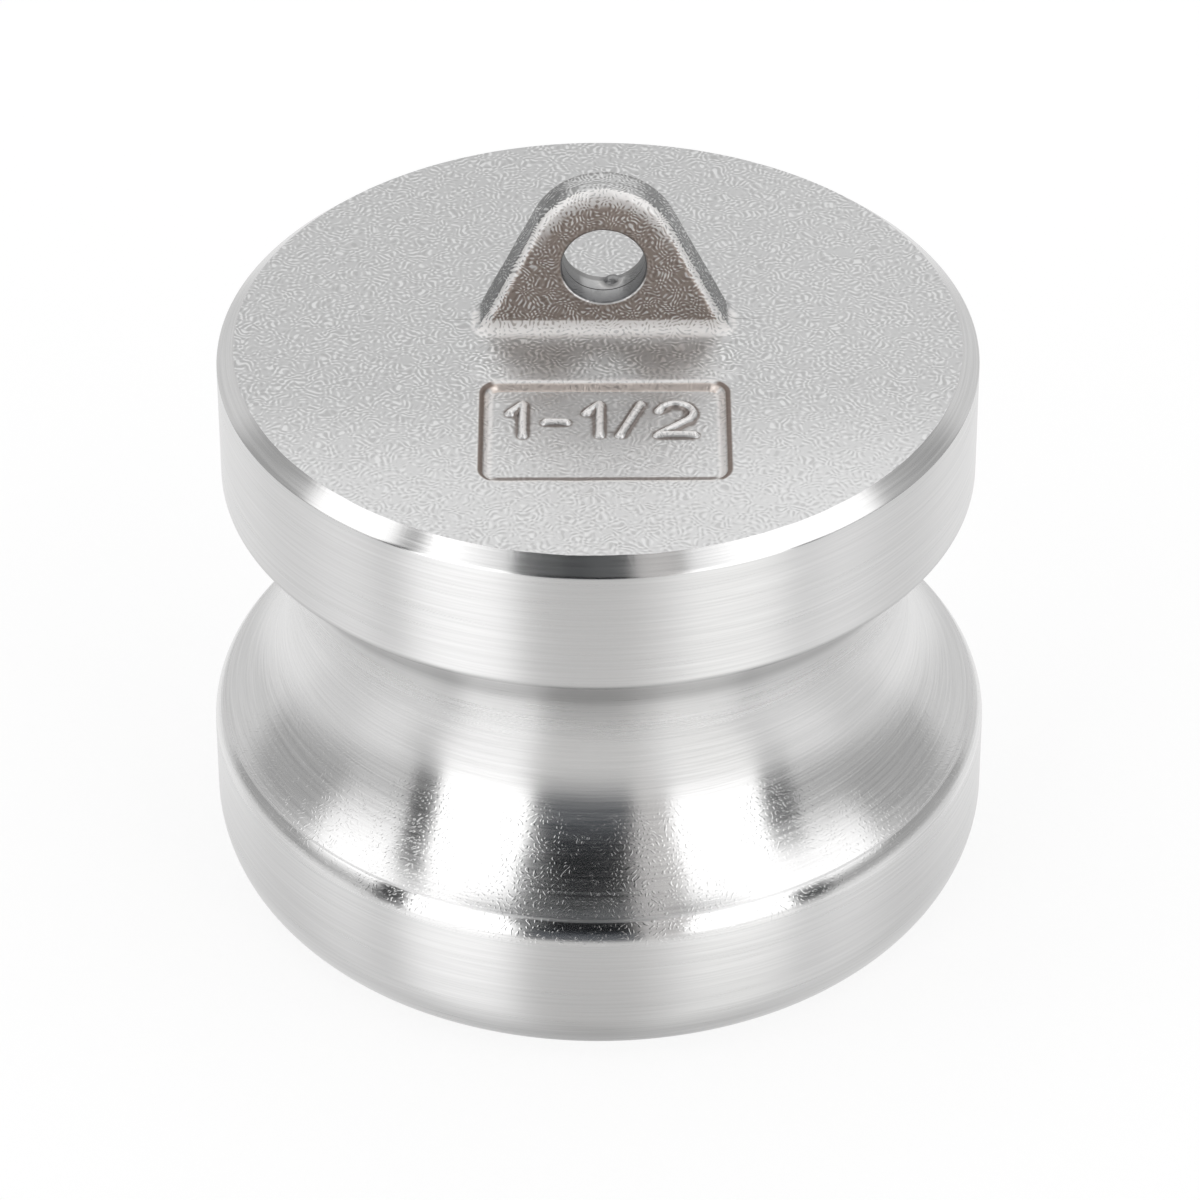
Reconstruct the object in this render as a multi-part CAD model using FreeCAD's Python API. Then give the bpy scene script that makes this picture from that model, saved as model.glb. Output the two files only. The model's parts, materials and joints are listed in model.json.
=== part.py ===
import FreeCAD, Part
import math
import os

# Cam and groove dust plug, size 1-1/2 inch, one stainless steel casting.
# Lengths are in millimetres. The plug stands on its rim, its turning axis is Z,
# and the front, where the label panel is, faces -Y.

# Tip, the part that a coupler closes on; its rounded upper corner runs in
# as far as the crisp edge where the groove begins
tip_radius = 26.7
tip_height = 11.185
tip_corner_radius = 2.4
tip_corner_inset = 0.76
lead_in_height = 4.0
lead_in_depth = 1.55

# Cam groove, cut with one round tool
groove_floor_radius = 21.0
groove_tool_radius = 11.935

# Upper flange
flange_radius = 25.5
flange_wall = 8.5
flange_edge_radius = 0.8
chamfer_width = 1.15
chamfer_height = 1.0

# Cored hollow, open at the bottom
wall_at_groove = 3.2
top_thickness = 6.0
core_draft = math.radians(1.5)
core_corner_radius = 3.0
mouth_chamfer = 1.0

# Chain lug on the cast top face
lug_width = 16.9
lug_height = 10.9
lug_top_radius = 5.05
lug_thickness = 3.3
lug_draft = math.radians(1.3)
lug_front_edge_radius = 0.65
lug_back_edge_radius = 0.3
lug_foot_radius = 0.7
lug_back_offset = 2.5

# Hole through the lug
hole_radius = 2.8
hole_height = 5.15
hole_edge_radius = 0.13

# Label panel, a shallow recess in front of the lug
panel_width = 16.2
panel_length = 11.2
panel_depth = 0.5
panel_wall_slope = 0.44
panel_corner_radius = 1.3
panel_front_offset = 10.5

# The cast features stand this far to the right of the turned axis
cast_shift = 0.4


def at(radius, height):
    return FreeCAD.Vector(radius, 0, height)


# Groove: its lower end is the crisp edge on the tip's corner, its upper end
# runs smoothly into the rounded lower edge of the flange
groove_start_radius = tip_radius - tip_corner_inset
groove_centre_radius = groove_floor_radius + groove_tool_radius
groove_reach = groove_centre_radius - groove_start_radius
groove_height = tip_height + math.sqrt(groove_tool_radius ** 2 - groove_reach ** 2)
edge_centre_radius = flange_radius - flange_edge_radius
edge_reach = groove_centre_radius - edge_centre_radius
edge_distance = groove_tool_radius + flange_edge_radius
edge_height = groove_height + math.sqrt(edge_distance ** 2 - edge_reach ** 2)
groove_end = at(
    edge_centre_radius + flange_edge_radius * edge_reach / edge_distance,
    edge_height - flange_edge_radius * (edge_height - groove_height) / edge_distance,
)
top_height = edge_height + flange_wall + chamfer_height


def arc(start, through, end):
    return Part.Arc(start, through, end).toShape()


def line(start, end):
    return Part.LineSegment(start, end).toShape()


def on_circle(centre, radius, angle):
    return centre + at(radius * math.cos(angle), radius * math.sin(angle))


def turned_body():
    # Lead-in: a round that leaves the tip's wall smoothly and ends at the rim
    lead_in_radius = (lead_in_height ** 2 + lead_in_depth ** 2) / (2 * lead_in_depth)
    lead_in_centre = at(tip_radius - lead_in_radius, lead_in_height)
    lead_in_angle = math.asin(lead_in_height / lead_in_radius)
    rim = at(tip_radius - lead_in_depth, 0)
    wall_foot = at(tip_radius, lead_in_height)

    # Tip corner: a round that leaves the wall smoothly and is cut off by the groove
    corner_reach = tip_corner_radius - tip_corner_inset
    corner_rise = math.sqrt(tip_corner_radius ** 2 - corner_reach ** 2)
    corner_angle = math.atan2(corner_rise, corner_reach)
    wall_head = at(tip_radius, tip_height - corner_rise)
    corner_centre = at(tip_radius - tip_corner_radius, tip_height - corner_rise)
    corner_end = at(groove_start_radius, tip_height)

    edge_centre = at(edge_centre_radius, edge_height)
    edge_angle = math.atan2(groove_height - edge_height, edge_reach)
    flange_foot = at(flange_radius, edge_height)
    flange_head = at(flange_radius, top_height - chamfer_height)
    face_edge = at(flange_radius - chamfer_width, top_height)

    # Core: the wall is thinnest at the groove floor, and widens to the mouth
    core_top = top_height - top_thickness
    core_radius_at_groove = groove_floor_radius - wall_at_groove
    core_lean = math.tan(core_draft)
    mouth_radius = core_radius_at_groove + groove_height * core_lean
    top_radius = core_radius_at_groove - (core_top - groove_height) * core_lean
    # The corner arc touches the sloping wall and the flat roof of the hollow
    roof_reach = core_corner_radius * math.tan((math.pi / 2 - core_draft) / 2)
    roof_edge = at(top_radius - roof_reach, core_top)
    wall_top = at(
        top_radius + roof_reach * math.sin(core_draft),
        core_top - roof_reach * math.cos(core_draft),
    )
    corner_middle = on_circle(
        at(roof_edge.x, core_top - core_corner_radius),
        core_corner_radius,
        (math.pi / 2 + core_draft) / 2,
    )
    mouth_inner = at(mouth_radius - mouth_chamfer * core_lean, mouth_chamfer)
    mouth_outer = at(mouth_radius + mouth_chamfer, 0)

    edges = [
        arc(rim, on_circle(lead_in_centre, lead_in_radius, -lead_in_angle / 2), wall_foot),
        line(wall_foot, wall_head),
        arc(wall_head, on_circle(corner_centre, tip_corner_radius, corner_angle / 2), corner_end),
        arc(corner_end, at(groove_floor_radius, groove_height), groove_end),
        arc(groove_end, on_circle(edge_centre, flange_edge_radius, edge_angle / 2), flange_foot),
        line(flange_foot, flange_head),
        line(flange_head, face_edge),
        line(face_edge, at(0, top_height)),
        line(at(0, top_height), at(0, core_top)),
        line(at(0, core_top), roof_edge),
        arc(roof_edge, corner_middle, wall_top),
        line(wall_top, mouth_inner),
        line(mouth_inner, mouth_outer),
        line(mouth_outer, rim),
    ]
    section = Part.Face(Part.Wire(edges))
    return section.revolve(FreeCAD.Vector(0, 0, 0), FreeCAD.Vector(0, 0, 1), 360)


def lug_blank():
    # Front view: straight sides from the foot, tangent to the round top
    sink = lug_foot_radius
    half_width = lug_width / 2
    centre_height = lug_height - lug_top_radius
    foot_distance = math.hypot(half_width, centre_height)
    side_angle = math.acos(lug_top_radius / foot_distance) - math.atan2(centre_height, half_width)
    centre = at(cast_shift, top_height + centre_height)
    right_touch = on_circle(centre, lug_top_radius, side_angle)
    left_touch = on_circle(centre, lug_top_radius, math.pi - side_angle)
    spread = half_width + sink * math.tan(side_angle)
    right_foot = at(cast_shift + spread, top_height - sink)
    left_foot = at(cast_shift - spread, top_height - sink)
    front = Part.Wire([
        line(left_foot, right_foot),
        line(right_foot, right_touch),
        arc(right_touch, at(cast_shift, top_height + lug_height), left_touch),
        line(left_touch, left_foot),
    ])
    plate = Part.Face(front).extrude(FreeCAD.Vector(0, 2 * lug_thickness, 0))
    plate.translate(FreeCAD.Vector(0, lug_back_offset - lug_thickness, 0))

    # Side view: both faces lean in, as a casting leaves its mould
    lean = math.tan(lug_draft)
    low_half = lug_thickness / 2 + sink * lean
    high_half = lug_thickness / 2 - (lug_height + sink) * lean
    low = top_height - sink
    high = top_height + lug_height + sink
    corners = [
        FreeCAD.Vector(-spread - cast_shift, lug_back_offset - low_half, low),
        FreeCAD.Vector(-spread - cast_shift, lug_back_offset + low_half, low),
        FreeCAD.Vector(-spread - cast_shift, lug_back_offset + high_half, high),
        FreeCAD.Vector(-spread - cast_shift, lug_back_offset - high_half, high),
    ]
    side = Part.Face(Part.makePolygon(corners + corners[:1]))
    wedge = side.extrude(FreeCAD.Vector(2 * (spread + 2 * cast_shift), 0, 0))
    blank = plate.common(wedge).Solids[0]

    # Both rims of the plate are rounded, all the way from foot to foot
    blank = with_rounded_rim(blank, -1, lug_front_edge_radius)
    return with_rounded_rim(blank, 1, lug_back_edge_radius)


def with_rounded_rim(blank, side, radius):
    rims = []
    for edge in blank.Edges:
        box = edge.BoundBox
        flat_across = box.YLength < lug_thickness / 2
        above_foot = box.ZMax > top_height
        on_side = side * (box.Center.y - lug_back_offset) > 0
        if flat_across and above_foot and on_side:
            rims.append(edge)
    return blank.makeFillet(radius, rims)


def with_rounded_foot(body):
    foot = []
    for edge in body.Edges:
        box = edge.BoundBox
        level = abs(box.ZMax - top_height) < 0.001 and abs(box.ZMin - top_height) < 0.001
        near_lug = abs(box.Center.x - cast_shift) < lug_width / 2 + lug_foot_radius
        beside_lug = abs(box.Center.y - lug_back_offset) < lug_thickness
        short = box.DiagonalLength < 1.5 * lug_width
        if level and near_lug and beside_lug and short:
            foot.append(edge)
    return body.makeFillet(lug_foot_radius, foot)


def with_hole(body):
    start = FreeCAD.Vector(cast_shift, lug_back_offset - lug_thickness, top_height + hole_height)
    drill = Part.makeCylinder(hole_radius, 2 * lug_thickness, start, FreeCAD.Vector(0, 1, 0))
    drilled = body.cut(drill)
    rims = []
    for edge in drilled.Edges:
        box = edge.BoundBox
        round_rim = abs(box.XLength - 2 * hole_radius) < 0.01
        in_lug = box.ZMin > top_height and box.YLength < lug_thickness / 2
        if round_rim and in_lug:
            rims.append(edge)
    return drilled.makeFillet(hole_edge_radius, rims)


def rounded_rectangle(width, length, corner, height):
    x = width / 2
    y = length / 2
    turn = corner * (1 - math.sqrt(0.5))
    centre = FreeCAD.Vector(cast_shift, -panel_front_offset, height)

    def spot(across, along):
        return centre + FreeCAD.Vector(across, along, 0)

    return Part.Wire([
        line(spot(-x + corner, -y), spot(x - corner, -y)),
        arc(spot(x - corner, -y), spot(x - turn, -y + turn), spot(x, -y + corner)),
        line(spot(x, -y + corner), spot(x, y - corner)),
        arc(spot(x, y - corner), spot(x - turn, y - turn), spot(x - corner, y)),
        line(spot(x - corner, y), spot(-x + corner, y)),
        arc(spot(-x + corner, y), spot(-x + turn, y - turn), spot(-x, y - corner)),
        line(spot(-x, y - corner), spot(-x, -y + corner)),
        arc(spot(-x, -y + corner), spot(-x + turn, -y + turn), spot(-x + corner, -y)),
    ])


def label_recess():
    # The walls slope, so the recess is wider at the face than at its floor
    inset = panel_wall_slope
    mouth = rounded_rectangle(
        panel_width + 2 * inset,
        panel_length + 2 * inset,
        panel_corner_radius + inset,
        top_height + panel_depth,
    )
    floor = rounded_rectangle(
        panel_width - 2 * inset,
        panel_length - 2 * inset,
        panel_corner_radius - inset,
        top_height - panel_depth,
    )
    return Part.makeLoft([floor, mouth], True, True)


body = turned_body().fuse(lug_blank()).removeSplitter()
body = with_rounded_foot(body)
body = with_hole(body)
dust_plug = body.cut(label_recess())
dust_plug = dust_plug.Solids[0]

os.makedirs("parts", exist_ok=True)
dust_plug.exportStep("parts/dust_plug.step")
box = dust_plug.optimalBoundingBox()
print("dust plug is valid:", dust_plug.isValid(), "volume in cubic cm:", round(dust_plug.Volume / 1000, 3))
print("width, depth and height:", round(box.XLength, 2), round(box.YLength, 2), round(box.ZLength, 2))
print("top face at:", round(top_height, 3), "groove floor at:", round(groove_height, 3))
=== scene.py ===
import json
import math
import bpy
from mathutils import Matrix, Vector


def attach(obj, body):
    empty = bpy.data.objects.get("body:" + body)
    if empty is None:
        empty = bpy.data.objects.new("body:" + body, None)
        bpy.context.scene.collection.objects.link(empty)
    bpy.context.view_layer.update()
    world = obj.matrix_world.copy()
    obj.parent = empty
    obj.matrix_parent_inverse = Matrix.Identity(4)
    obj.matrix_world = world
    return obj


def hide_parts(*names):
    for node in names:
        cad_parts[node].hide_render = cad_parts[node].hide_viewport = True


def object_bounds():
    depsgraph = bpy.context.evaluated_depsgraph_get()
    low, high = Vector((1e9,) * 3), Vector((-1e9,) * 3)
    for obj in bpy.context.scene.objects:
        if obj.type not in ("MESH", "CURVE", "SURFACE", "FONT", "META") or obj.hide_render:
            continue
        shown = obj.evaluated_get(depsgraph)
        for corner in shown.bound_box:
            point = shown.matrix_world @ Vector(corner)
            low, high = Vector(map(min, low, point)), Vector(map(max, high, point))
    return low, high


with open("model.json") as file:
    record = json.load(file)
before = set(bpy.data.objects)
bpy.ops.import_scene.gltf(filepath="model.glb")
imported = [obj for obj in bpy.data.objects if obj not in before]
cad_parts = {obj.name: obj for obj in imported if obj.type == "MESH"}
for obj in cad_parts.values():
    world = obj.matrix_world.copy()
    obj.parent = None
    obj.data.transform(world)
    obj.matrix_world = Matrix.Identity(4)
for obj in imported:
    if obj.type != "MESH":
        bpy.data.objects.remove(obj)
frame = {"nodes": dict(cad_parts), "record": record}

from types import SimpleNamespace

import bmesh
import bpy
from mathutils import Matrix, Vector

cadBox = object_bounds()
mm = 0.001
mounts = {mount["name"]: mount for mount in frame["record"]["mounts"]}
print("frame loaded, plug box in mm:", [round(v / mm, 2) for v in cadBox[1] - cadBox[0]])


# Small helpers for node trees

def addNode(tree, kind, links=None, values=None, **settings):
    node = tree.nodes.new(kind)
    for name, value in settings.items():
        setattr(node, name, value)
    for name, value in (values or {}).items():
        node.inputs[name].default_value = value
    for name, socket in (links or {}).items():
        tree.links.new(socket, node.inputs[name])
    return node


def plug(tree, node, place, value):  # a number is written in, a socket is linked
    if isinstance(value, (int, float)):
        node.inputs[place].default_value = value
    else:
        tree.links.new(value, node.inputs[place])


def calc(tree, operation, *values):
    node = tree.nodes.new("ShaderNodeMath")
    node.operation = operation
    for place, value in enumerate(values):
        plug(tree, node, place, value)
    return node.outputs[0]


def ramp(tree, value, start, end, low=0.0, high=1.0):  # smooth step between two values
    node = tree.nodes.new("ShaderNodeMapRange")
    node.interpolation_type = "SMOOTHSTEP"
    for name, number in (("Value", value), ("From Min", start), ("From Max", end), ("To Min", low), ("To Max", high)):
        plug(tree, node, name, number)
    return node.outputs[0]


def useGroup(tree, group, values):
    node = tree.nodes.new("ShaderNodeGroup")
    node.node_tree = group
    for name, value in values.items():
        plug(tree, node, name, value)
    return node


def newGroup(name, kind, inputs, outputs):  # a number is a socket's default, a word its type
    tree = bpy.data.node_groups.new(name, kind)
    for side, sockets in (("INPUT", inputs), ("OUTPUT", outputs)):
        for title, value in sockets.items():
            if isinstance(value, str):
                tree.interface.new_socket(title, in_out=side, socket_type="NodeSocket" + value)
                continue
            number = "NodeSocketInt" if isinstance(value, int) else "NodeSocketFloat"
            tree.interface.new_socket(title, in_out=side, socket_type=number).default_value = value
    return tree, tree.nodes.new("NodeGroupInput"), tree.nodes.new("NodeGroupOutput")


def minus(tree, first, second):
    return calc(tree, "SUBTRACT", first, second)


def product(tree, first, *others):
    for other in others:
        first = calc(tree, "MULTIPLY", first, other)
    return first


def largest(tree, first, *others):
    for other in others:
        first = calc(tree, "MAXIMUM", first, other)
    return first


def window(tree, value, start, full, end, fading):  # 1 between full and fading, 0 before start and after end
    return product(tree, ramp(tree, value, start, full), ramp(tree, value, end, fading))


def split(tree, vector):
    return addNode(tree, "ShaderNodeSeparateXYZ", {0: vector}).outputs


def joined(tree, **axes):
    return addNode(tree, "ShaderNodeCombineXYZ", axes).outputs[0]


def times(tree, vector, factor):
    node = addNode(tree, "ShaderNodeVectorMath", {0: vector}, operation="SCALE")
    plug(tree, node, "Scale", factor)
    return node.outputs[0]


def rest(tree, mask):
    return minus(tree, 1.0, mask)


def distance(tree, first, second):
    squares = calc(tree, "ADD", calc(tree, "POWER", first, 2.0), calc(tree, "POWER", second, 2.0))
    return calc(tree, "SQRT", squares)


def millimetres(tree):  # object coordinates in mm
    return times(tree, addNode(tree, "ShaderNodeTexCoord").outputs["Object"], 1 / mm)


def tinted(tree, colour, mask, tint):  # colour goes over to the tint where the mask is 1
    mix = addNode(tree, "ShaderNodeMix", {"Factor": mask}, data_type="RGBA")
    for place, value in ((6, colour), (7, tint)):
        if isinstance(value, tuple):
            mix.inputs[place].default_value = value + (1.0,)  # red, green, blue and alpha
        else:
            tree.links.new(value, mix.inputs[place])
    return mix.outputs[2]


# Camera, fitted to the photo

photoCamera = {
    "place": (0.0904, -338.901, 271.779),  # mm
    "elevation": 36.79,  # degrees, looking down
    "roll": -0.153,
    "lens": 184.255,
    "sensor": 36.0,
}


def makeCamera():
    camera = bpy.data.objects.new("photoCamera", bpy.data.cameras.new("photoCamera"))
    bpy.context.scene.collection.objects.link(camera)
    camera.data.lens = photoCamera["lens"]
    camera.data.sensor_width = photoCamera["sensor"]
    camera.data.clip_start = 0.01
    camera.data.clip_end = 20.0
    tilt = math.radians(photoCamera["elevation"])
    roll = math.radians(photoCamera["roll"])
    level = Vector((0.0, math.sin(tilt), math.cos(tilt)))
    side = Vector((1.0, 0.0, 0.0))
    right = side * math.cos(roll) + level * math.sin(roll)
    up = level * math.cos(roll) - side * math.sin(roll)
    turn = Matrix((right, up, right.cross(up))).transposed().to_4x4()
    camera.matrix_world = Matrix.Translation(Vector(photoCamera["place"]) * mm) @ turn
    bpy.context.scene.camera = camera


# Studio: a light room with two softboxes in front, two banks above and a dark gap between them.
# Directions are degrees: azimuth 0 is the front, the right is positive, elevation is above the horizon.

studio = {
    "below": 0.94,  # light from the pale table
    "walls": 0.4,
    "ceiling": 1.45,
    "tableEnd": (-0.32, -0.02),  # heights as the sine of the elevation
    "ceilingStart": (0.5, 0.9),
    "cameraWhite": 1.0,  # the backdrop, for the camera alone
    "leanStart": 18.0,
    # centre azimuth, lean for each degree of elevation above the lean's start, half width,
    # lowest and highest elevation, soft side, soft ends, light, and a tint where it isn't white
    "panels": [
        ("tableFront", -2.0, 0.0, 22.0, -90.0, -13.0, 8.0, 5.0, 0.76, (1.0, 0.995, 0.985)),
        ("tableLeft", -42.0, 0.0, 14.5, -60.0, -12.0, 6.0, 8.0, 1.18),
        ("tableRight", 41.0, 0.0, 14.0, -85.0, -12.0, 6.0, 5.0, 1.02, (1.0, 1.0, 0.99)),
        ("tableSeamLeft", -66.0, 0.0, 5.0, -90.0, -12.0, 4.0, 5.0, 0.77),
        ("tableSeamRight", 62.0, 0.0, 5.5, -90.0, -12.0, 4.0, 5.0, 0.79),
        ("tableWallLeft", -106.0, 0.0, 14.0, -80.0, -10.0, 8.0, 6.0, 0.8),
        ("tableWallRight", 104.0, 0.0, 14.0, -80.0, -10.0, 8.0, 6.0, 0.77),
        ("backLeft", -158.0, 0.0, 36.0, -12.0, 30.0, 6.0, 10.0, 0.7),
        ("backRight", 158.0, 0.0, 36.0, -12.0, 30.0, 6.0, 10.0, 0.7),
        ("backHighLeft", -160.0, 0.0, 36.0, 30.0, 75.0, 8.0, 8.0, 0.97),
        ("backHighRight", 160.0, 0.0, 36.0, 30.0, 75.0, 8.0, 8.0, 0.98),
        ("bankLeftFoot", -58.0, -0.55, 27.0, 2.0, 90.0, 5.0, 6.0, 0.6),
        ("bankLeft", -60.0, -0.55, 28.5, 22.0, 90.0, 5.0, 15.0, 1.4),
        ("bankRight", 53.0, 0.6, 31.0, 25.0, 90.0, 5.0, 15.0, 1.4),
        ("ceilingFront", 0.0, 0.0, 66.0, 58.0, 95.0, 8.0, 4.0, 0.14, (0.95, 0.98, 1.0)),
        ("boxLeft", -37.5, -0.26, 17.0, -12.0, 56.5, 2.5, 4.5, 1.65),
        ("boxRight", 37.7, 0.2, 16.8, -9.0, 58.0, 2.5, 4.5, 1.6),
        ("frameLeft", -58.4, -0.29, 4.8, -14.0, 56.0, 2.0, 10.0, 0.04, (0.94, 0.97, 1.0)),
        ("frameRight", 59.6, 0.29, 5.6, -8.0, 30.0, 2.0, 12.0, 0.05, (0.9, 0.96, 1.0)),
        ("gapRight", 13.0, 0.26, 10.0, -13.0, 90.0, 3.0, 4.0, 0.6, (1.0, 0.98, 0.97)),
        ("gapLeft", -14.0, -0.26, 8.0, -13.0, 90.0, 3.0, 4.0, 0.22, (0.97, 0.99, 1.0)),
        ("gapHigh", -14.0, 0.0, 10.5, 42.0, 60.0, 4.0, 4.0, 0.03, (0.9, 0.95, 1.0)),
        ("gapFront", -4.0, 0.08, 14.3, -13.0, 60.0, 3.5, 5.0, 0.01, (0.85, 0.93, 1.05)),
        ("gapFoot", -4.0, 0.0, 14.3, -13.0, 13.0, 3.5, 9.0, 0.1, (0.85, 0.93, 1.05)),
    ],
    "gapAbove": {"across": (0.2, 0.06), "height": (0.89, 0.97), "light": (0.135, 0.1425, 0.15)},
    "underPlug": {"start": -0.84, "end": -0.995, "share": 0.6},  # the table is darker close to the plug
}


panelTitles = ("Centre", "Lean", "Half width", "Lowest", "Highest", "Soft side", "Soft ends")


def panelGroup():
    inputs = dict.fromkeys(("Azimuth", "Elevation", "Lean start") + panelTitles, 0.0)
    tree, given, result = newGroup("studioPanel", "ShaderNodeTree", inputs, {"Mask": "Float"})
    get = given.outputs
    risen = largest(tree, minus(tree, get["Elevation"], get["Lean start"]), 0.0)
    centre = calc(tree, "ADD", get["Centre"], product(tree, risen, get["Lean"]))
    away = calc(tree, "ABSOLUTE", minus(tree, get["Azimuth"], centre))
    outer = calc(tree, "ADD", get["Half width"], get["Soft side"])
    across = ramp(tree, away, outer, minus(tree, get["Half width"], get["Soft side"]))
    low, high, soft = get["Lowest"], get["Highest"], get["Soft ends"]
    along = window(
        tree,
        get["Elevation"],
        minus(tree, low, soft),
        calc(tree, "ADD", low, soft),
        calc(tree, "ADD", high, soft),
        minus(tree, high, soft),
    )
    tree.links.new(product(tree, across, along), result.inputs["Mask"])
    return tree


def makeStudio():
    world = bpy.data.worlds.new("studio")
    bpy.context.scene.world = world
    world.use_nodes = True
    world.cycles.sampling_method = "NONE"  # the room is bright all round, and this renders twice as fast
    tree = world.node_tree
    tree.nodes.clear()
    direction = addNode(tree, "ShaderNodeTexCoord").outputs["Generated"]
    axes = split(tree, direction)
    degrees = 180.0 / math.pi
    azimuth = product(tree, calc(tree, "ARCTAN2", axes["X"], product(tree, axes["Y"], -1.0)), degrees)
    elevation = product(tree, calc(tree, "ARCSINE", axes["Z"]), degrees)
    table = ramp(tree, axes["Z"], *studio["tableEnd"], studio["below"], studio["walls"])
    room = ramp(tree, axes["Z"], *studio["ceilingStart"], table, studio["ceiling"])
    colour = addNode(tree, "ShaderNodeCombineColor", {"Red": room, "Green": room, "Blue": room}).outputs[0]
    panelTree = panelGroup()
    for name, *row in studio["panels"]:
        values = {"Azimuth": azimuth, "Elevation": elevation, "Lean start": studio["leanStart"]}
        panel = useGroup(tree, panelTree, values | dict(zip(panelTitles, row)))
        panel.label = name
        light, *tint = row[len(panelTitles):]
        shown = tuple(light * part for part in (tint[0] if tint else (1.0, 1.0, 1.0)))
        colour = tinted(tree, colour, panel.outputs["Mask"], shown)

    gap = studio["gapAbove"]  # the gap goes on over the plug, between the two banks
    between = ramp(tree, calc(tree, "ABSOLUTE", axes["X"]), *gap["across"])
    overhead = product(tree, between, ramp(tree, axes["Z"], *gap["height"]))
    colour = tinted(tree, colour, overhead, gap["light"])

    near = studio["underPlug"]
    share = ramp(tree, axes["Z"], near["end"], near["start"], near["share"], 1.0)
    seen = addNode(tree, "ShaderNodeLightPath").outputs["Is Camera Ray"]
    final = tinted(tree, times(tree, colour, share), seen, (studio["cameraWhite"],) * 3)
    light = addNode(tree, "ShaderNodeBackground", {"Color": final})
    tree.links.new(light.outputs[0], addNode(tree, "ShaderNodeOutputWorld").inputs["Surface"])
    print("studio light made,", len(studio["panels"]), "panels")


floorValues = {
    "size": 3.0,  # metres
    "colour": (0.86, 0.86, 0.86, 1.0),
    "cameraLift": 0.815,  # light added for the camera, so that the open floor shows white
    "cameraShare": 0.26,  # how much of the real floor, with its shadow, the camera sees
}


def makeFloor():
    bm = bmesh.new()
    bmesh.ops.create_grid(bm, x_segments=1, y_segments=1, size=floorValues["size"] / 2)
    mesh = bpy.data.meshes.new("floor")
    bm.to_mesh(mesh)
    bm.free()
    floor = bpy.data.objects.new("floor", mesh)
    bpy.context.scene.collection.objects.link(floor)
    material = bpy.data.materials.new("paleFloor")
    material.use_nodes = True
    tree = material.node_tree
    tree.nodes.clear()
    rays = addNode(tree, "ShaderNodeLightPath").outputs
    paper = addNode(tree, "ShaderNodeBsdfDiffuse", values={"Color": floorValues["colour"]})
    glow = addNode(tree, "ShaderNodeEmission", values={"Strength": floorValues["cameraLift"]})
    dark = addNode(tree, "ShaderNodeBsdfDiffuse", values={"Color": (0.0, 0.0, 0.0, 1.0)})
    shaded = {1: paper.outputs[0], 2: dark.outputs[0]}
    share = addNode(tree, "ShaderNodeMixShader", shaded, {0: 1 - floorValues["cameraShare"]})
    lifted = addNode(tree, "ShaderNodeAddShader", {0: share.outputs[0], 1: glow.outputs[0]})
    clear = addNode(tree, "ShaderNodeBsdfTransparent")
    forMetal = {0: rays["Is Glossy Ray"], 1: paper.outputs[0], 2: clear.outputs[0]}
    mirrored = addNode(tree, "ShaderNodeMixShader", forMetal)
    forCamera = {0: rays["Is Camera Ray"], 1: mirrored.outputs[0], 2: lifted.outputs[0]}
    whole = addNode(tree, "ShaderNodeMixShader", forCamera)
    tree.links.new(whole.outputs[0], addNode(tree, "ShaderNodeOutputMaterial").inputs["Surface"])
    mesh.materials.append(material)


# Turned body: the outline of the lathe work, in mm, spun round the axis

turning = {
    "tipRadius": min(abs(side) for corner in cadBox for side in corner[:2]) / mm,
    "tipHeight": 11.185,
    "tipCorner": 2.4,
    "tipCornerInset": 0.76,  # the groove cuts the corner off this far in
    "leadInHeight": 4.0,
    "leadInDepth": 1.55,
    "grooveFloor": mounts["cam_groove"]["pos_m"][0] / mm,
    "grooveTool": 11.935,
    "flangeRadius": 25.5,
    "flangeEdge": 0.8,
    "chamferWidth": 1.15,
    "chamferHeight": 1.0,
    "topFace": 40.069,
    "recessDepth": 0.5,
    "wallAtGroove": 3.2,
    "topThickness": 6.0,
    "coreDraft": math.radians(1.5),
    "coreCorner": 3.0,
    "mouthChamfer": 1.0,
    "edgeBreak": 0.07,  # the tool leaves no corner sharper than this
    "crispEdge": 0.04,  # where the groove meets the tip's corner
    "support": 0.12,  # a row this far from each corner keeps flat faces flat
    "blankHeight": 52.0,  # the chamfer's cone runs on up to here and cuts the cast face
    "segments": 336,
}


def grooveHeight():  # the groove's floor lies where its round starts from the tip's corner
    t = turning
    reach = t["grooveFloor"] + t["grooveTool"] - (t["tipRadius"] - t["tipCornerInset"])
    return t["tipHeight"] + math.sqrt(t["grooveTool"] ** 2 - reach ** 2)


def arcPoints(centre, radius, start, end, steps):
    angles = [math.radians(start + (end - start) * step / steps) for step in range(steps + 1)]
    return [(centre[0] + radius * math.cos(a), centre[1] + radius * math.sin(a)) for a in angles]


def softCorners(points, corners, support):  # each named corner becomes a small round with a row beside it
    softened = []
    for place, point in enumerate(points):
        if place not in corners:
            softened.append(point)
            continue
        size = corners[place]
        here = Vector(point)
        before = (Vector(points[place - 1]) - here).normalized()
        after = (Vector(points[place + 1]) - here).normalized()
        softened.append(here + before * (size + support))
        for step in range(4):
            t = step / 3
            softened.append(here + before * size * (1 - t) ** 2 + after * size * t ** 2)
        softened.append(here + after * (size + support))
    return [tuple(point) for point in softened]


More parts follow.
